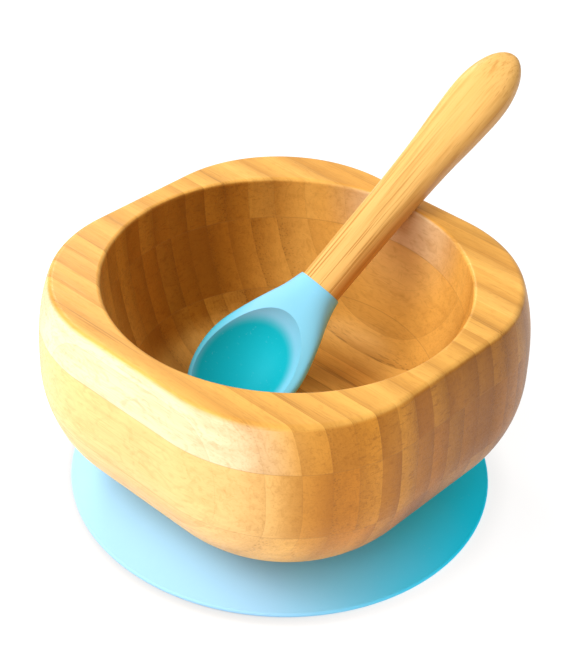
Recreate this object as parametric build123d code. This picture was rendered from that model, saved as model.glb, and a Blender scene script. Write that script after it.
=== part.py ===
from build123d import *
import math
import os

# Suction bowl for weaning: a bowl milled from laminated bamboo, a silicone suction base that
# plugs into its underside, and the matching bamboo and silicone spoon, which leans in the bowl.
#
# Millimetres, +Z up. The origin is on the table plane, on the vertical axis of bowl and base.
# The flat sides of the bowl face along X and Y, and the bamboo strips run along X.

# ---- bowl, outside ------------------------------------------------------------------------
bowl_bottom = 8.7           # underside of the bamboo above the table
bowl_top = 64.5             # rim above the table
corner_axis = 16.05         # each vertical corner axis, from the bowl's middle planes
foot_radius = 13.2          # about the corner axis, where the flat underside ends
girth_radius = 41.4         # about the corner axis, where the bowl is widest
girth_height = 39.5
rim_radius = 37.9           # about the corner axis, at the rim before its edge is rounded
rim_power = 2.87            # how late the wall above the girth leans in
rim_round = 1.8             # rounding of the rim's outer edge

# ---- bowl, inside -------------------------------------------------------------------------
cavity_radius = 47.5        # opening at the rim, before its edge is rounded
wall_curve = 75.6           # radius of the curve of the inner wall, upright at the rim
floor_height = 22.0
floor_blend = 14.0          # radius between floor and wall
lip_round = 1.1             # rounding of the rim's inner edge

# ---- lamination ---------------------------------------------------------------------------
strip_width = 5.8           # one strip is centred on Y = 0
strips_per_side = 10        # to each side of the middle strip
glue_low = 32.6             # between the bottom and the middle board
glue_high = 52.5            # between the middle and the top board

# ---- plug and its recess --------------------------------------------------------------------
recess_radius = 14.0
recess_depth = 7.0
plug_clearance = 0.05       # radial, at the plug's ribs
plug_height = 6.5
rib_heights = (4.5, 1.9)    # middles of the two ribs above the bowl's underside
rib_round = 0.75            # radius of a rib's half-round section
plug_chamfer = 0.6

# ---- suction base ---------------------------------------------------------------------------
base_radius = 57.75
lip_thickness = 1.4
lip_width = 3.6             # flat ring that seals on the table
hub_radius = 26.0           # flat top of the base, under the bowl
skirt_bulge = 0.45          # how far the skirt's top stands above a straight cone
suction_depth = 6.0         # hollow under the middle of the base

# ---- spoon, in its own frame: X from the collar to the handle's end, Z up from the recess ---
# each curve is a row of (distance from the collar, value) and runs smoothly through them
handle_length = 82.0
handle_swell = 66.0         # the handle is widest here and then closes to a round end
handle_half_width = ((0, 5.75), (16, 5.8), (32, 5.95), (46, 6.5), (57, 7.4), (66, 7.85))
handle_half_thickness = ((0, 4.8), (16, 4.95), (32, 5.15), (46, 5.3), (57, 5.5), (66, 5.6))
handle_squareness = 2.8     # power of the handle's sections, 2 being an ellipse
head_length = 47.4
head_swell = 27.0           # the head is widest here and then closes to a round tip
head_half_width = ((0, 6.3), (5, 7.7), (12, 10.6), (19, 13.1), (27, 14.6))
head_rise = ((0, 5.3), (5, 4.9), (12, 3.3), (19, 2.0), (27, 1.4))
head_drop = ((0, 5.3), (5, 5.5), (12, 6.4), (19, 7.5), (27, 8.2))
head_squareness = 2.4
head_tilt = 8.8             # degrees that the head turns up from the handle's line
section_points = 24         # points round each section
section_count = 15          # sections of each loft, before the point that closes it
tang_radius = 3.0
tang_length = 10.0
tang_clearance = 0.05
dish_length = 32.0          # recess of the head, at the widest line
dish_width = 25.0
dish_depth = 6.0
dish_centre = 30.2          # from the collar
dish_rise = 0.4             # the dish is measured at this height above the widest line

# ---- where the spoon leans --------------------------------------------------------------------
collar_point = (-5.4, 19.4, 48.7)
spoon_heading = 80.6        # degrees from +X towards +Y, from head to handle
spoon_lean = 38.3           # degrees above the horizontal
spoon_roll = -20.0          # degrees about the handle, the recess turning towards +X

parts_folder = "parts"


def at(radius, height):
    """A point of a profile in the XZ plane."""
    return (radius, 0, height)


def arc(centre, radius, start, end):
    """A circular arc of a profile, between two angles in radians."""
    angles = (start, (start + end) / 2, end)
    points = [
        at(centre[0] + radius * math.cos(angle), centre[1] + radius * math.sin(angle))
        for angle in angles
    ]
    return ThreePointArc(*points)


def wall_radius(height):
    """Radius of the outer wall about its corner axis, from the girth up to the rim."""
    rise = (height - girth_height) / (bowl_top - girth_height)
    return girth_radius - (girth_radius - rim_radius) * rise**rim_power


def outer_profile():
    """Half section of the wall about a corner axis, closed along that axis."""
    lean = math.atan((girth_radius - rim_radius) * rim_power / (bowl_top - girth_height))
    edge = rim_round / math.tan((math.pi / 2 + lean) / 2)
    rim = arc((rim_radius - edge, bowl_top - rim_round), rim_round, lean, math.pi / 2)
    flank = Plane.XZ * EllipticalCenterArc(
        (foot_radius, girth_height),
        girth_radius - foot_radius,
        girth_height - bowl_bottom,
        start_angle=270,
        arc_size=90,
    )
    heights = [girth_height + (bowl_top - girth_height) * share for share in (0, 0.3, 0.55, 0.75)]
    wall = Spline(
        *[at(wall_radius(height), height) for height in heights],
        rim @ 0,
        tangents=[(0, 0, 1), (-math.sin(lean), 0, math.cos(lean))],
    )
    edges = [
        Line(at(0, bowl_bottom), at(foot_radius, bowl_bottom)),
        flank,
        wall,
        rim,
        Line(rim @ 1, at(0, bowl_top)),
        Line(at(0, bowl_top), at(0, bowl_bottom)),
    ]
    return make_face(edges)


def outer_body():
    """The bowl's outside as one solid: the same profile round four corners and along four sides."""
    profile = outer_profile()
    corner = revolve(profile, Axis.Z, 90)
    side = extrude(profile, corner_axis, dir=(0, 1, 0), both=True)
    body = Pos(0, 0, (bowl_bottom + bowl_top) / 2) * Box(
        2 * corner_axis, 2 * corner_axis, bowl_top - bowl_bottom
    )
    for turn in range(4):
        body += Rot(0, 0, 90 * turn) * Pos(corner_axis, corner_axis, 0) * corner
        body += Rot(0, 0, 90 * turn) * Pos(corner_axis, 0, 0) * side
    return body


def cavity():
    """The round hollow of the bowl, open above the rim."""
    wall_centre = (cavity_radius - wall_curve, bowl_top)
    blend_drop = bowl_top - floor_height - floor_blend
    slope = math.asin(blend_drop / (wall_curve - floor_blend))
    blend_run = (wall_curve - floor_blend) * math.cos(slope)
    blend_centre = (wall_centre[0] + blend_run, bowl_top - blend_drop)
    lip_drop = math.asin(lip_round / (wall_curve + lip_round))
    lip_run = (wall_curve + lip_round) * math.cos(lip_drop)
    lip_centre = (wall_centre[0] + lip_run, bowl_top - lip_round)
    above = bowl_top + 2
    edges = [
        Line(at(0, floor_height), at(blend_centre[0], floor_height)),
        arc(blend_centre, floor_blend, -math.pi / 2, -slope),
        arc(wall_centre, wall_curve, -slope, -lip_drop),
        arc(lip_centre, lip_round, math.pi - lip_drop, math.pi / 2),
        Line(at(lip_centre[0], bowl_top), at(lip_centre[0], above)),
        Line(at(lip_centre[0], above), at(0, above)),
        Line(at(0, above), at(0, floor_height)),
    ]
    return revolve(make_face(edges), Axis.Z, 360)


def recess():
    """The blind round hole in the underside that takes the plug."""
    return Pos(0, 0, bowl_bottom + recess_depth / 2) * Cylinder(recess_radius, recess_depth)


def bowl_blank():
    """The finished shape of the bamboo bowl, before it is divided along its glue lines."""
    return outer_body() - cavity() - recess()


def strip(blank, index, low, high):
    """The strip number index of the board between two heights."""
    slab = Pos(0, index * strip_width, (low + high) / 2) * Box(
        4 * girth_radius, strip_width, high - low
    )
    return blank & slab


def strip_name(board, index):
    """Strips are counted from 1 at the -Y side."""
    return f"{board}_strip_{index + strips_per_side + 1:02d}"


def suction_base():
    """Skirt, hub and ribbed plug of silicone, turned about Z."""
    half_lip = lip_thickness / 2
    lip_centre = base_radius - half_lip
    ring_inside = base_radius - lip_width
    hollow_curve = (ring_inside**2 + suction_depth**2) / (2 * suction_depth)
    hollow_turn = math.asin(ring_inside / hollow_curve)
    skirt_middle = at(
        (hub_radius + lip_centre) / 2,
        (bowl_bottom + lip_thickness) / 2 + skirt_bulge,
    )
    plug_top = bowl_bottom + plug_height
    rib_centre = recess_radius - plug_clearance - rib_round
    edges = [
        arc(
            (0, suction_depth - hollow_curve),
            hollow_curve,
            math.pi / 2 - hollow_turn,
            math.pi / 2,
        ),
        Line(at(0, suction_depth), at(0, plug_top)),
        Line(at(0, plug_top), at(rib_centre - plug_chamfer, plug_top)),
        Line(at(rib_centre - plug_chamfer, plug_top), at(rib_centre, plug_top - plug_chamfer)),
    ]
    height = plug_top - plug_chamfer
    for rib_height in rib_heights:
        middle = bowl_bottom + rib_height
        edges += [
            Line(at(rib_centre, height), at(rib_centre, middle + rib_round)),
            arc((rib_centre, middle), rib_round, math.pi / 2, -math.pi / 2),
        ]
        height = middle - rib_round
    edges += [
        Line(at(rib_centre, height), at(rib_centre, bowl_bottom)),
        Line(at(rib_centre, bowl_bottom), at(hub_radius, bowl_bottom)),
        ThreePointArc(at(hub_radius, bowl_bottom), skirt_middle, at(lip_centre, lip_thickness)),
        arc((lip_centre, half_lip), half_lip, math.pi / 2, -math.pi / 2),
        Line(at(lip_centre, 0), at(ring_inside, 0)),
    ]
    return revolve(make_face(edges), Axis.Z, 360)


def spoon_frame():
    """The spoon's own frame, leaning in the bowl."""
    heading = math.radians(spoon_heading)
    lean = math.radians(spoon_lean)
    roll = math.radians(spoon_roll)
    along = Vector(
        math.cos(lean) * math.cos(heading),
        math.cos(lean) * math.sin(heading),
        math.sin(lean),
    )
    side = Vector(-math.sin(heading), math.cos(heading), 0)
    up = along.cross(side)
    return Plane(
        origin=collar_point,
        x_dir=along,
        z_dir=up * math.cos(roll) + side * math.sin(roll),
    )


def smooth(row, distance):
    """Value at one distance on the smooth curve through a row of points, level at its last one."""
    slopes = [(row[1][1] - row[0][1]) / (row[1][0] - row[0][0])]
    for before, after in zip(row, row[2:]):
        slopes.append((after[1] - before[1]) / (after[0] - before[0]))
    slopes.append(0)
    for start, end, leave, arrive in zip(row, row[1:], slopes, slopes[1:]):
        if distance <= end[0]:
            run = end[0] - start[0]
            share = (distance - start[0]) / run
            rest = 1 - share
            return (
                start[1] * rest**2 * (1 + 2 * share)
                + end[1] * share**2 * (1 + 2 * rest)
                + run * share * rest * (leave * rest - arrive * share)
            )
    return row[-1][1]


def section(distance, half_width, rise, drop, height, squareness):
    """A closed section across the spoon, rising and dropping unequally from its widest line."""
    points = []
    for step in range(section_points):
        turn = 2 * math.pi * step / section_points
        across = abs(math.cos(turn)) ** (2 / squareness) * half_width
        tall = abs(math.sin(turn)) ** (2 / squareness) * (rise if turn < math.pi else drop)
        points.append((
            distance,
            math.copysign(across, math.cos(turn)),
            height + math.copysign(tall, math.sin(turn)),
        ))
    return make_face(Spline(*points, periodic=True))


def rounded_loft(length, swell, width, rise, drop, squareness, slope):
    """A loft along X that closes to a round end, ellipse-shaped beyond its swell."""
    sections = []
    for step in range(section_count):
        distance = length * math.sin(math.pi / 2 * step / section_count)
        beyond = max(0, distance - swell) / (length - swell)
        closing = math.sqrt(1 - beyond**2)
        sections.append(section(
            distance,
            smooth(width, distance) * closing,
            smooth(rise, distance) * closing,
            smooth(drop, distance) * closing,
            distance * slope,
            squareness,
        ))
    sections.append(Vertex(length, 0, length * slope))
    return loft(sections)


def handle_in_place():
    """Bamboo handle with a round tang that sits inside the silicone head."""
    handle = rounded_loft(
        handle_length,
        handle_swell,
        handle_half_width,
        handle_half_thickness,
        handle_half_thickness,
        handle_squareness,
        0,
    )
    tang = Rot(0, 90, 0) * Pos(0, 0, -tang_length / 2) * Cylinder(tang_radius, tang_length)
    return handle + tang


def head_in_place():
    """Silicone spoon head with its dished recess and the socket for the tang."""
    tilt = math.radians(head_tilt)
    head = Rot(0, 0, 180) * rounded_loft(
        head_length,
        head_swell,
        head_half_width,
        head_rise,
        head_drop,
        head_squareness,
        math.tan(tilt),
    )
    # the dish is part of an ellipsoid turned about the head's length
    across = (dish_width**2 / 4 + dish_depth**2) / (2 * dish_depth)
    above = across - dish_depth
    along = dish_length / 2 / math.sqrt(1 - (above / across) ** 2)
    half = make_face([
        EllipticalCenterArc((0, 0), along, across, start_angle=0, arc_size=180),
        Line((-along, 0), (along, 0)),
    ])
    dish = revolve(half, Axis.X, 360)
    head -= Rot(0, head_tilt, 0) * Pos(-dish_centre, 0, above + dish_rise) * dish
    socket_length = tang_length + 0.3
    socket = Rot(0, 90, 0) * Pos(0, 0, -socket_length / 2) * Cylinder(
        tang_radius + tang_clearance, socket_length
    )
    return head - socket


def write(shape, name):
    """One STEP file for one node."""
    shape.label = name
    export_step(shape, os.path.join(parts_folder, name + ".step"))
    print(f"{name}: {len(shape.solids())} solid(s), {shape.volume / 1000:.2f} cm3")


def main():
    os.makedirs(parts_folder, exist_ok=True)
    blank = bowl_blank()
    print(f"bowl blank: {len(blank.solids())} solid(s), {blank.volume / 1000:.2f} cm3")
    for index in range(-strips_per_side, strips_per_side + 1):
        write(strip(blank, index, glue_high, bowl_top), strip_name("top", index))
        write(strip(blank, index, glue_low, glue_high), strip_name("middle", index))
    # the two mirror-image strips of the bottom board share a node
    write(strip(blank, 0, bowl_bottom, glue_low), "bottom_strip_middle")
    for index in range(1, strips_per_side + 1):
        pair = [strip(blank, side * index, bowl_bottom, glue_low) for side in (-1, 1)]
        write(Compound(children=pair), f"bottom_strips_{index:02d}")
    write(suction_base(), "suction_base")
    place = spoon_frame().location
    write(place * handle_in_place(), "spoon_handle")
    write(place * head_in_place(), "spoon_head")


main()
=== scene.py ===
import math

import bpy
from mathutils import Matrix, Vector

# Suction bowl with its spoon: laminated bamboo bowl on a silicone base. Metres, +Z up.
# The pieces are the CAD nodes themselves: this script gives them materials, a floor and light.

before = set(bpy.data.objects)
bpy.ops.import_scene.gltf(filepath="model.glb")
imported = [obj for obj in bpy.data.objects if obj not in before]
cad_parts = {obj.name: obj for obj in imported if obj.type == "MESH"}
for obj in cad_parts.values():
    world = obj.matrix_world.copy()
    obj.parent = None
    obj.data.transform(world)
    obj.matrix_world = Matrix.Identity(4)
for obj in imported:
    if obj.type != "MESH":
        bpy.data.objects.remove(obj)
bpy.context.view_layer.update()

# ---- what the materials need to know of the object -------------------------------------------
STRIP_WIDTH = 0.0058                    # the bamboo strips lie side by side along Y
GLUE_LOW = 0.0326                       # heights of the glue between the boards
GLUE_HIGH = 0.0525
COLLAR = Vector((-0.0054, 0.0194, 0.0487))      # where the spoon's handle meets its head
SPOON_HEADING = math.radians(80.6)      # from +X towards +Y, from head to handle
SPOON_LEAN = math.radians(38.3)         # above the horizontal
SPOON_ROLL = math.radians(-20.0)        # about the handle
HEAD_TILT = math.radians(8.8)           # the head's turn up from the handle's line

# ---- bamboo colours, linear --------------------------------------------------------------------
BAMBOO_TINTS = (
    (0.60, 0.260, 0.040),
    (0.88, 0.470, 0.105),
    (0.50, 0.205, 0.030),
    (0.96, 0.560, 0.150),
    (0.72, 0.335, 0.058),
    (0.84, 0.420, 0.085),
)
BAMBOO_MEAN = (0.79, 0.400, 0.080)
OUTER_PALE = (0.82, 0.620, 0.390)       # face of the top board's outermost strips
OUTER_TAN = (0.80, 0.490, 0.185)        # the same of the boards below
CUT_END = (0.76, 0.56, 0.24)            # how much darker the cut ends of the fibres look
CUT_END_PAINTED_SHADE = (0.66, 0.62, 0.50)       # and painted shade darkens them once more on the outer wall, towards +Y
HANDLE_TINTS = (
    (0.70, 0.365, 0.085),
    (0.76, 0.430, 0.130),
    (0.64, 0.310, 0.062),
)
BROWN = (0.40, 0.160, 0.022)
FIBRE_DARK = (0.20, 0.080, 0.018)
GLUE_DARK = (0.30, 0.125, 0.030)

# ---- bamboo patterns: (stretch along X, Y and Z), scale, detail, roughness, distortion ---------
FINE_GRAIN = ((0.03, 1.0, 1.0), 2600.0, 4.0, 0.6, 0.0)
STIPPLE = ((1.0, 0.30, 1.0), 1500.0, 3.0, 0.6, 0.6)
LONG_WAVES = ((0.12, 1.0, 1.0), 420.0, 3.0, 0.5, 0.0)
WEAVE = ((0.20, 1.0, 0.35), 900.0, 3.0, 0.6, 1.6)
CLOUD = ((1.0, 1.0, 1.0), 38.0, 3.0, 0.5, 0.0)
HANDLE_GRAIN = ((0.02, 1.0, 1.0), 2200.0, 4.0, 0.6, 0.0)
HANDLE_BANDS = ((0.05, 1.0, 1.0), 520.0, 3.0, 0.5, 0.0)
HANDLE_LINES = ((0.012, 1.0, 1.0), 1500.0, 2.0, 0.5, 0.0)
FIBRE_BEND = ((1.0, 1.0, 1.0), 22.0, 2.0, 0.55, 0.0)
FIBRE_SWAY = 0.0012                     # how far the fibres wander sideways
FIBRE_STRETCH = 0.022                   # a bundle is long along X by the inverse of this
FIBRE_SCALE = 1750.0
FIBRE_RANDOMNESS = 0.9
FIBRE_EDGE = (0.14, -0.05)              # from outside a bundle to inside it
FIBRE_REACH = (0.26, 0.12)              # size of a bundle: growth with density, and least

# ---- stains: pattern value where a stain begins and where it is full, and its most ------------
CLOUD_STAIN = (0.30, 0.72, 0.16)
LONG_STAIN = (0.42, 0.75, 0.22)
FINE_STAIN = (0.50, 0.80, 0.36)
WEAVE_STAIN = (0.46, 0.72, 0.26)
HANDLE_BAND_STAIN = (0.48, 0.78, 0.36)
HANDLE_FINE_STAIN = (0.50, 0.80, 0.40)
SPECKLE_RANGE = (0.50, 0.72)
SPECKLE_SHARE = 0.55
DENSITY_SHARE = 0.52                    # how brown the dense side of a strip is
STREAK_RANGE = (0.55, 0.64)             # dark lines along the handle
STREAK_FADE = (0.0, 0.055, 0.80, 0.34)  # from the collar outwards: distances, then strengths
FLANK_SHADE = (-0.004, 0.003, 0.46, 0.0)        # under the handle's edge, in the same order
FLANK_LEAN = 0.7                        # the shaded flank turns this much from Z towards Y

# ---- the bowl's strips and glue -----------------------------------------------------------------
TINT_SEED = 3.0                         # one draw for each strip of each board, for its tint,
TURN_SEED = 9.0                         # for the side that its dense fibres are on,
DOT_SEED = 15.0                         # and for how much its fibres show
TURN_SHARE = 0.45
DOT_STRENGTH = (0.55, 0.95, 0.22, 0.85)
DENSITY_POWER = 1.8                     # how suddenly a strip grows dense towards one side
CUT_END_FACING = (0.55, 0.93)           # share of X in the normal, at the fibres' cut ends
SIDE_FACING = (0.50, 0.95)              # share of Y in the normal, on the bowl's long faces
OUTSIDE_FROM = (0.040, 0.050)           # distance from the middle plane of the outermost strips
# where the painted shade on the cut ends grows: along Y, and with the X of the normal
PAINTED_SHADE_Y = (-0.030, 0.010)
OUTER_WALL_FACING = (0.20, 0.55)
VARIETY = (0.60, 0.38)                  # of strip tints: more on cut ends, and least
MARK_STRENGTH = (0.60, 0.10)            # of fibre marks: growth with density, and least
STRIP_GLUE = (0.004, 0.022, 0.16, 0.0)
BOARD_GLUE = (0.00005, 0.00018, 0.34, 0.0)
GLUE_GROOVE = 0.8
NEVER_ZERO = 1.001                      # keeps a root above nothing where a face runs along Y

# ---- wood surface ----------------------------------------------------------------------------------
WOOD_ROUGHNESS = (0.30, 0.75, 0.34, 0.50)
BOWL_GLOSS = 0.46
BOWL_GLOSS_TINT = (1.0, 0.76, 0.36, 1.0)
BOWL_RELIEF = (0.30, 0.00010)           # strength and depth of the bump
HANDLE_GLOSS = 0.26
HANDLE_GLOSS_TINT = (1.0, 0.74, 0.40, 1.0)
HANDLE_RELIEF = (0.35, 0.00010)
HANDLE_DENSITY = (-0.005, 0.006, 0.75, 0.10)
HANDLE_MARKS = (0.38, 0.10)
BUNDLE_RELIEF = -0.5                    # bundles of fibre lie a little lower than the rest

# ---- silicone ----------------------------------------------------------------------------------------
SILICONE = (0.001, 0.690, 0.980)
# painted sheen: the base is paler on the side towards the light
SILICONE_PAINTED_SHEEN = (0.345, 0.615, 0.860)
BASE_HEADING = math.radians(42.0)       # the way in which the base's painted sheen fades
BASE_PAINTED_SHEEN_FADE = (-0.010, 0.056)            # where the fading begins and ends
BASE_ROUGHNESS = 0.42
BASE_GLOSS = 0.18
SPOON_SILICONE = (0.020, 0.560, 0.690)
# painted sheen on the spoon's head
SPOON_PAINTED_SHEEN = (0.260, 0.540, 0.730)
# painted shade of the spoon's dish, at its darkest
SPOON_DISH_SHADE = (0.004, 0.410, 0.500)
SPOON_PAINTED_SHEEN_HEADING = math.radians(-19.3)
SPOON_PAINTED_SHEEN_FADE = (-0.028, 0.057)
SPOON_ROUGHNESS = 0.50
SPOON_GLOSS = 0.30
DISH_SIDE = 0.10                        # the dish's painted shade darkens this much faster to one side
DISH_DEPTHS = (-0.0010, 0.0020)         # where the painted shade begins, and is full
SILICONE_CLOUD = ((1.0, 1.0, 1.0), 45.0, 3.0, 0.5, 0.0)
SILICONE_GRAIN = ((1.0, 1.0, 1.0), 5200.0, 2.0, 0.6, 0.0)
SILICONE_DUST = ((1.0, 1.0, 1.0), 900.0, 4.0, 0.7, 0.0)
DRIFT = (0.012, -0.006)                 # how the cloud moves the edge of the painted sheen
DUST_TINT = (0.50, 0.82, 0.92)
DUST_RANGE = (0.60, 0.80, 0.0, 0.12)
GRAIN_SHARE = 0.4
MOTTLE_RANGE = (0.4, 1.0)
ROUGHNESS_SPREAD = 0.06
SILICONE_GLOSS_TINT = (0.16, 0.86, 1.0, 1.0)
SILICONE_RELIEF = (0.12, 0.00006)

# ---- floor -------------------------------------------------------------------------------------------
FLOOR_SIZE = 16.0
FLOOR_GREYS = ((0.22, 0.22, 0.22), (0.25, 0.25, 0.25))
FLOOR_TONE = ((1.0, 1.0, 1.0), 3.0, 2.0, 0.55, 0.0)
FLOOR_ROUGHNESS = 0.9
FLOOR_GLOSS = 0.1
FLOOR_GLOW = (0.84, 2.0)                # behind and in front of the bowl
GLOW_FROM = (-0.06, 0.24)
FORWARD = (-0.45, -0.89)                # X and Y of the way along which the glow grows
PAINTED_SHADOW_RING = (0.0572, 0.0655)           # painted contact shadow: the floor is dimmer between these distances from the axis
# how dark the painted shadow gets: faint behind the bowl, deepest in front
PAINTED_SHADOW_STRENGTH = (-0.03, 0.04, 0.90, 0.44)

# ---- light and camera ----------------------------------------------------------------------------------
WORLD_STRENGTH = 0.55
WHITE = (1.0, 1.0, 1.0, 1.0)
AIM = Vector((0.0, 0.0, 0.0455))        # lights and camera look here
LIGHT_DISTANCE = 0.9
LIGHTS = (                              # name, azimuth from -Y towards +X, elevation, size, watts
    ("key", -38.0, 50.0, 0.55, 6.8),
    ("side", -112.0, 36.0, 0.25, 2.8),
    ("fill", 14.0, 42.0, 0.60, 3.4),
)
CAMERA_AZIMUTH = 42.2
CAMERA_ELEVATION = 36.47
CAMERA_DISTANCE = 0.4269
CAMERA_ROLL = math.radians(2.12)
CAMERA_SENSOR = 36.0                    # millimetres, upright
CAMERA_LENS = 87.5                      # millimetres
CAMERA_NEAR = 0.01


class Shader:
    """A small builder for one material's node tree."""

    def __init__(self, name):
        self.material = bpy.data.materials.new(name)
        self.material.use_nodes = True
        self.nodes = self.material.node_tree.nodes
        self.links = self.material.node_tree.links
        self.surface = self.nodes["Principled BSDF"]

    def put(self, target, value):
        """A link if value is another node's output, or else a constant."""
        if isinstance(value, bpy.types.NodeSocket):
            self.links.new(value, target)
        else:
            target.default_value = value

    def math(self, operation, first, second=0.0, third=0.0):
        node = self.nodes.new("ShaderNodeMath")
        node.operation = operation
        for socket, value in zip(node.inputs, (first, second, third)):
            self.put(socket, value)
        return node.outputs[0]

    def ramp(self, value, low, high, out_low=0.0, out_high=1.0):
        """value from low..high to out_low..out_high, smooth and clamped."""
        node = self.nodes.new("ShaderNodeMapRange")
        node.interpolation_type = "SMOOTHSTEP"
        for socket, number in zip(node.inputs, (value, low, high, out_low, out_high)):
            self.put(socket, number)
        return node.outputs[0]

    def mix(self, share, first, second, blend="MIX"):
        node = self.nodes.new("ShaderNodeMix")
        node.data_type = "RGBA"
        node.blend_type = blend
        self.put(node.inputs[0], share)
        for socket, colour in ((node.inputs[6], first), (node.inputs[7], second)):
            if isinstance(colour, tuple):
                colour = (*colour, 1.0)
            self.put(socket, colour)
        return node.outputs[2]

    def stain(self, colour, pattern, begins, full, most):
        """colour, browner where the pattern is higher."""
        return self.mix(self.ramp(pattern, begins, full, 0.0, most), colour, BROWN)

    def combine(self, x, y, z):
        node = self.nodes.new("ShaderNodeCombineXYZ")
        for socket, value in zip(node.inputs, (x, y, z)):
            self.put(socket, value)
        return node.outputs[0]

    def separate(self, vector):
        node = self.nodes.new("ShaderNodeSeparateXYZ")
        self.put(node.inputs[0], vector)
        return node.outputs

    def noise(self, axes, stretch, scale, detail, roughness, distortion):
        """A noise pattern, drawn out along the axes whose stretch is under 1."""
        drawn = [
            axis if share == 1.0 else self.math("MULTIPLY", axis, share)
            for axis, share in zip(axes, stretch)
        ]
        node = self.nodes.new("ShaderNodeTexNoise")
        self.put(node.inputs["Vector"], self.combine(*drawn))
        node.inputs["Scale"].default_value = scale
        node.inputs["Detail"].default_value = detail
        node.inputs["Roughness"].default_value = roughness
        node.inputs["Distortion"].default_value = distortion
        return node.outputs[0]

    def white(self, vector):
        """One random value for each whole-numbered vector."""
        node = self.nodes.new("ShaderNodeTexWhiteNoise")
        node.noise_dimensions = "3D"
        self.put(node.inputs["Vector"], vector)
        return node.outputs["Value"]

    def cells(self, vector, scale, randomness):
        """Distance to the middle of the nearest cell."""
        node = self.nodes.new("ShaderNodeTexVoronoi")
        node.feature = "F1"
        self.put(node.inputs["Vector"], vector)
        node.inputs["Scale"].default_value = scale
        node.inputs["Randomness"].default_value = randomness
        return node.outputs["Distance"]

    def place(self, position=None, rotation=None):
        """Object coordinates, or coordinates in a frame placed and turned within the object."""
        coordinates = self.nodes.new("ShaderNodeTexCoord").outputs["Object"]
        if position is None:
            return coordinates
        node = self.nodes.new("ShaderNodeMapping")
        node.vector_type = "TEXTURE"
        node.inputs["Location"].default_value = position
        node.inputs["Rotation"].default_value = rotation
        self.put(node.inputs["Vector"], coordinates)
        return node.outputs[0]

    def facing(self):
        """Normal of the surface in object coordinates."""
        return self.nodes.new("ShaderNodeTexCoord").outputs["Normal"]

    def bump(self, height, strength, distance):
        node = self.nodes.new("ShaderNodeBump")
        node.inputs["Strength"].default_value = strength
        node.inputs["Distance"].default_value = distance
        self.put(node.inputs["Height"], height)
        self.links.new(node.outputs[0], self.surface.inputs["Normal"])

    def finish(self, colour, roughness, gloss, gloss_tint):
        """The surface's colour, roughness and reflection."""
        self.put(self.surface.inputs["Base Color"], colour)
        self.put(self.surface.inputs["Roughness"], roughness)
        self.surface.inputs["Specular IOR Level"].default_value = gloss
        self.surface.inputs["Specular Tint"].default_value = gloss_tint


def palette(shader, share, tints):
    """One colour out of several, by a share from 0 to 1."""
    node = shader.nodes.new("ShaderNodeValToRGB")
    node.color_ramp.interpolation = "LINEAR"
    elements = node.color_ramp.elements
    while len(elements) < len(tints):
        elements.new(0.5)
    for number, tint in enumerate(tints):
        elements[number].position = number / (len(tints) - 1)
        elements[number].color = (*tint, 1.0)
    shader.put(node.inputs[0], share)
    return node.outputs[0]


def fibres(shader, x, y, z, density):
    """Bundles of fibre along X, 1 inside a bundle: streaks on long faces, dots on cut ends."""
    bend = shader.noise((x, y, z), *FIBRE_BEND)
    bend = shader.math("MULTIPLY", shader.math("SUBTRACT", bend, 0.5), FIBRE_SWAY)
    drawn = shader.combine(
        shader.math("MULTIPLY", x, FIBRE_STRETCH),
        shader.math("ADD", y, bend),
        shader.math("ADD", z, bend),
    )
    dots = shader.cells(drawn, FIBRE_SCALE, FIBRE_RANDOMNESS)
    reach = shader.math("MULTIPLY_ADD", density, *FIBRE_REACH)
    return shader.ramp(shader.math("SUBTRACT", dots, reach), *FIBRE_EDGE)


def strip_layout(shader, y, z):
    """Number of the strip, place across it from 0 to 1, number of the board, 1 in the top board."""
    strips = shader.math("ADD", shader.math("DIVIDE", y, STRIP_WIDTH), 0.5)
    above_low = shader.math("GREATER_THAN", z, GLUE_LOW)
    above_high = shader.math("GREATER_THAN", z, GLUE_HIGH)
    board = shader.math("ADD", above_low, above_high)
    return shader.math("FLOOR", strips), shader.math("FRACT", strips), board, above_high


def glue_lines(shader, across, crossing, z):
    """Thin glue between the strips, and between the boards."""
    off_middle = shader.math("ABSOLUTE", shader.math("SUBTRACT", across, 0.5))
    edge = shader.math("DIVIDE", shader.math("SUBTRACT", 0.5, off_middle), crossing)
    glue = shader.ramp(edge, *STRIP_GLUE)
    for height in (GLUE_LOW, GLUE_HIGH):
        off = shader.math("ABSOLUTE", shader.math("SUBTRACT", z, height))
        glue = shader.math("MAXIMUM", glue, shader.ramp(off, *BOARD_GLUE))
    return glue


def darken_cut_ends_and_paint_shade(shader, colour, cut_end, facing_x, y):
    """Cut ends of the fibres are darker, and painted shade darkens them more on the outer wall towards
    +Y.
    """
    colour = shader.mix(cut_end, colour, shader.mix(1.0, colour, CUT_END, "MULTIPLY"))
    end_side = shader.ramp(y, *PAINTED_SHADE_Y)
    outer_wall = shader.ramp(facing_x, *OUTER_WALL_FACING)
    # painted shade: the cut ends of the outer wall darker towards +Y
    deep = shader.math("MULTIPLY", shader.math("MULTIPLY", end_side, outer_wall), cut_end)
    return shader.mix(deep, colour, shader.mix(1.0, colour, CUT_END_PAINTED_SHADE, "MULTIPLY"))


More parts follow.
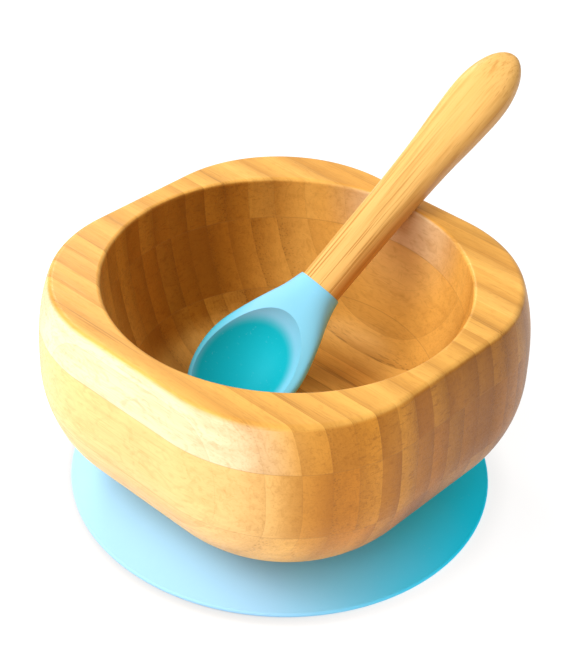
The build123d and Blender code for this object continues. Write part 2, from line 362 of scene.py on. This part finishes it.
def bamboo_bowl():
    """Laminated bamboo: fibres along X, a tint for every strip of every board, glue lines."""
    shader = Shader("laminated_bamboo")
    axes = shader.separate(shader.place())
    x, y, z = axes
    facing = shader.separate(shader.facing())
    cut_end = shader.ramp(shader.math("ABSOLUTE", facing[0]), *CUT_END_FACING)
    # how steeply a surface crosses the planes between the strips: 0 where it runs along them
    facing_y_squared = shader.math("MULTIPLY", facing[1], facing[1])
    crossing = shader.math("SQRT", shader.math("SUBTRACT", NEVER_ZERO, facing_y_squared))

    number, across, board, high = strip_layout(shader, y, z)
    tint = shader.white(shader.combine(number, board, TINT_SEED))
    turned = shader.math(
        "GREATER_THAN", shader.white(shader.combine(number, board, TURN_SEED)), TURN_SHARE
    )
    dotted = shader.ramp(shader.white(shader.combine(number, board, DOT_SEED)), *DOT_STRENGTH)
    skin = shader.math("ABSOLUTE", shader.math("SUBTRACT", across, turned))
    density = shader.math("MULTIPLY", shader.math("POWER", skin, DENSITY_POWER), crossing)
    bundles = fibres(shader, x, y, z, density)
    fine = shader.noise(axes, *FINE_GRAIN)

    variety = shader.math("MULTIPLY", shader.math("MULTIPLY_ADD", cut_end, *VARIETY), crossing)
    colour = shader.mix(variety, BAMBOO_MEAN, palette(shader, tint, BAMBOO_TINTS))
    outside = shader.ramp(shader.math("ABSOLUTE", y), *OUTSIDE_FROM)
    side_face = shader.ramp(shader.math("ABSOLUTE", facing[1]), *SIDE_FACING)
    outer = shader.mix(high, OUTER_TAN, OUTER_PALE)
    colour = shader.mix(shader.math("MULTIPLY", outside, side_face), colour, outer)

    colour = shader.stain(colour, shader.noise(axes, *CLOUD), *CLOUD_STAIN)
    colour = shader.mix(shader.math("MULTIPLY", density, DENSITY_SHARE), colour, BROWN)
    colour = shader.stain(colour, shader.noise(axes, *LONG_WAVES), *LONG_STAIN)
    colour = shader.stain(colour, fine, *FINE_STAIN)
    stipple = shader.ramp(shader.noise(axes, *STIPPLE), *SPECKLE_RANGE)
    speckle = shader.math("MULTIPLY", stipple, cut_end)
    colour = shader.mix(shader.math("MULTIPLY", speckle, SPECKLE_SHARE), colour, BROWN)
    colour = shader.stain(colour, shader.noise(axes, *WEAVE), *WEAVE_STAIN)

    strength = shader.math("MULTIPLY_ADD", density, *MARK_STRENGTH)
    marks = shader.math("MULTIPLY", bundles, shader.math("MULTIPLY", strength, dotted))
    colour = shader.mix(marks, colour, FIBRE_DARK)
    colour = darken_cut_ends_and_paint_shade(shader, colour, cut_end, facing[0], y)
    glue = glue_lines(shader, across, crossing, z)
    colour = shader.mix(glue, colour, GLUE_DARK)

    shader.finish(colour, shader.ramp(fine, *WOOD_ROUGHNESS), BOWL_GLOSS, BOWL_GLOSS_TINT)
    height = shader.math("ADD", shader.math("MULTIPLY", bundles, BUNDLE_RELIEF), fine)
    height = shader.math("SUBTRACT", height, shader.math("MULTIPLY", glue, GLUE_GROOVE))
    shader.bump(height, *BOWL_RELIEF)
    return shader.material


def spoon_axes():
    """Rotation of the spoon's own frame: X from the collar to the handle's end, Z up."""
    along = Vector((
        math.cos(SPOON_LEAN) * math.cos(SPOON_HEADING),
        math.cos(SPOON_LEAN) * math.sin(SPOON_HEADING),
        math.sin(SPOON_LEAN),
    ))
    side = Vector((-math.sin(SPOON_HEADING), math.cos(SPOON_HEADING), 0.0))
    up = along.cross(side) * math.cos(SPOON_ROLL) + side * math.sin(SPOON_ROLL)
    across = up.cross(along)
    return Matrix((along, across, up)).transposed().to_euler("XYZ")


def bamboo_handle():
    """One piece of bamboo, its fibres along the handle."""
    shader = Shader("handle_bamboo")
    axes = shader.separate(shader.place(COLLAR, spoon_axes()))
    x, y, z = axes
    density = shader.ramp(z, *HANDLE_DENSITY)
    bundles = fibres(shader, x, y, z, density)
    fine = shader.noise(axes, *HANDLE_GRAIN)
    bands = shader.noise(axes, *HANDLE_BANDS)
    lines = shader.noise(axes, *HANDLE_LINES)

    colour = palette(shader, bands, HANDLE_TINTS)
    colour = shader.stain(colour, bands, *HANDLE_BAND_STAIN)
    colour = shader.stain(colour, fine, *HANDLE_FINE_STAIN)
    near_collar = shader.ramp(x, *STREAK_FADE)
    streaks = shader.math("MULTIPLY", shader.ramp(lines, *STREAK_RANGE), near_collar)
    colour = shader.mix(streaks, colour, BROWN)
    height = shader.math("ADD", z, shader.math("MULTIPLY", y, FLANK_LEAN))
    colour = shader.mix(shader.ramp(height, *FLANK_SHADE), colour, BROWN)
    strength = shader.math("MULTIPLY_ADD", density, *HANDLE_MARKS)
    colour = shader.mix(shader.math("MULTIPLY", bundles, strength), colour, FIBRE_DARK)

    shader.finish(colour, shader.ramp(fine, *WOOD_ROUGHNESS), HANDLE_GLOSS, HANDLE_GLOSS_TINT)
    relief = shader.math("ADD", shader.math("MULTIPLY", bundles, BUNDLE_RELIEF), fine)
    shader.bump(relief, *HANDLE_RELIEF)
    return shader.material


def dish_shade(shader):
    """Share of the dish's painted shade, by how far a point lies under the head's flat face."""
    along, across, height = shader.separate(shader.place(COLLAR, spoon_axes()))
    face = shader.math("MULTIPLY", along, -math.tan(HEAD_TILT))
    depth = shader.math("SUBTRACT", face, height)
    depth = shader.math("ADD", depth, shader.math("MULTIPLY", across, DISH_SIDE))
    return shader.ramp(depth, *DISH_DEPTHS)


def silicone(name, deep, painted_sheen, heading, sheen_fade, roughness, gloss, has_dish_shade=False):
    """Moulded silicone with a matte grain. Its painted sheen, a paler colour, fades out along one level
    heading.
    """
    shader = Shader(name)
    axes = shader.separate(shader.place())
    cloud = shader.noise(axes, *SILICONE_CLOUD)
    grain = shader.noise(axes, *SILICONE_GRAIN)
    dust = shader.noise(axes, *SILICONE_DUST)
    along = shader.math(
        "ADD",
        shader.math("MULTIPLY", axes[0], math.cos(heading)),
        shader.math("MULTIPLY", axes[1], math.sin(heading)),
    )
    along = shader.math("ADD", along, shader.math("MULTIPLY_ADD", cloud, *DRIFT))
    # painted sheen: paler along one heading, fading out
    colour = shader.mix(shader.ramp(along, *sheen_fade, 1.0, 0.0), deep, painted_sheen)
    if has_dish_shade:
        # painted shade in the dish
        colour = shader.mix(dish_shade(shader), colour, SPOON_DISH_SHADE)
    colour = shader.mix(shader.ramp(dust, *DUST_RANGE), colour, DUST_TINT)
    mottle = shader.math("ADD", cloud, shader.math("MULTIPLY", grain, GRAIN_SHARE))
    smoothest = roughness - ROUGHNESS_SPREAD
    roughest = roughness + ROUGHNESS_SPREAD
    mottled = shader.ramp(mottle, *MOTTLE_RANGE, smoothest, roughest)
    shader.finish(colour, mottled, gloss, SILICONE_GLOSS_TINT)
    shader.bump(grain, *SILICONE_RELIEF)
    return shader.material


def dress(node, material):
    """One CAD node in one material, in the mesh's only slot."""
    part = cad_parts[node]
    part.data.materials.clear()
    part.data.materials.append(material)
    for polygon in part.data.polygons:
        polygon.material_index = 0


def dress_all():
    bowl_material = bamboo_bowl()
    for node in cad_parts:
        board = node.split("_")[0]
        if board in ("top", "middle", "bottom"):
            dress(node, bowl_material)
    base = silicone(
        "base_silicone", SILICONE, SILICONE_PAINTED_SHEEN, BASE_HEADING, BASE_PAINTED_SHEEN_FADE,
        BASE_ROUGHNESS, BASE_GLOSS,
    )
    dress("suction_base", base)
    head = silicone(
        "spoon_silicone", SPOON_SILICONE, SPOON_PAINTED_SHEEN, SPOON_PAINTED_SHEEN_HEADING, SPOON_PAINTED_SHEEN_FADE,
        SPOON_ROUGHNESS, SPOON_GLOSS, has_dish_shade=True,
    )
    dress("spoon_head", head)
    dress("spoon_handle", bamboo_handle())


def floor_material():
    """Pale floor that glows as painted light, most in front of the bowl and least close round its base,
    where a painted shadow dims it.
    """
    shader = Shader("floor")
    axes = shader.separate(shader.place())
    x, y = axes[0], axes[1]
    grey = shader.mix(shader.noise(axes, *FLOOR_TONE), *FLOOR_GREYS)
    shader.put(shader.surface.inputs["Base Color"], grey)
    shader.surface.inputs["Roughness"].default_value = FLOOR_ROUGHNESS
    shader.surface.inputs["Specular IOR Level"].default_value = FLOOR_GLOSS
    shader.surface.inputs["Emission Color"].default_value = WHITE
    forward = shader.math(
        "ADD",
        shader.math("MULTIPLY", x, FORWARD[0]),
        shader.math("MULTIPLY", y, FORWARD[1]),
    )
    glow = shader.ramp(forward, *GLOW_FROM, *FLOOR_GLOW)
    squares = shader.math("ADD", shader.math("MULTIPLY", x, x), shader.math("MULTIPLY", y, y))
    # painted contact shadow round the base
    dimmest = shader.ramp(forward, *PAINTED_SHADOW_STRENGTH)
    painted_shadow = shader.ramp(shader.math("SQRT", squares), *PAINTED_SHADOW_RING, dimmest, 1.0)
    emission = shader.math("MULTIPLY", glow, painted_shadow)
    shader.put(shader.surface.inputs["Emission Strength"], emission)
    return shader.material


def make_floor():
    bpy.ops.mesh.primitive_plane_add(size=FLOOR_SIZE, location=(0, 0, 0))
    floor = bpy.context.object
    floor.name = "floor"
    floor.data.materials.append(floor_material())


def make_world():
    world = bpy.data.worlds.new("studio")
    world.use_nodes = True
    background = world.node_tree.nodes["Background"]
    background.inputs["Color"].default_value = WHITE
    background.inputs["Strength"].default_value = WORLD_STRENGTH
    bpy.context.scene.world = world


def direction(azimuth, elevation):
    """The way to a point seen from the bowl, in degrees. Azimuth counts from -Y towards +X."""
    turn, rise = math.radians(azimuth), math.radians(elevation)
    return Vector((
        math.sin(turn) * math.cos(rise),
        -math.cos(turn) * math.cos(rise),
        math.sin(rise),
    ))


def make_light(name, azimuth, elevation, size, watts):
    """A square area light that looks at the bowl."""
    data = bpy.data.lights.new(name, "AREA")
    data.shape = "SQUARE"
    data.size = size
    data.energy = watts
    light = bpy.data.objects.new(name, data)
    bpy.context.scene.collection.objects.link(light)
    way = direction(azimuth, elevation)
    light.location = AIM + way * LIGHT_DISTANCE
    light.rotation_euler = way.to_track_quat("Z", "Y").to_euler()


def make_camera():
    data = bpy.data.cameras.new("camera")
    data.sensor_fit = "VERTICAL"
    data.sensor_height = CAMERA_SENSOR
    data.lens = CAMERA_LENS
    data.clip_start = CAMERA_NEAR
    camera = bpy.data.objects.new("camera", data)
    bpy.context.scene.collection.objects.link(camera)
    look = direction(CAMERA_AZIMUTH, CAMERA_ELEVATION)
    turn = math.radians(CAMERA_AZIMUTH)
    right = Vector((math.cos(turn), math.sin(turn), 0.0))
    over = look.cross(right)
    rolled_right = right * math.cos(CAMERA_ROLL) + over * math.sin(CAMERA_ROLL)
    rolled_over = over * math.cos(CAMERA_ROLL) - right * math.sin(CAMERA_ROLL)
    rolled = Matrix((rolled_right, rolled_over, look)).transposed().to_4x4()
    camera.matrix_world = Matrix.Translation(AIM + look * CAMERA_DISTANCE) @ rolled
    bpy.context.scene.camera = camera


dress_all()
make_floor()
make_world()
for light_values in LIGHTS:
    make_light(*light_values)
make_camera()
bpy.context.scene.view_settings.view_transform = "Standard"
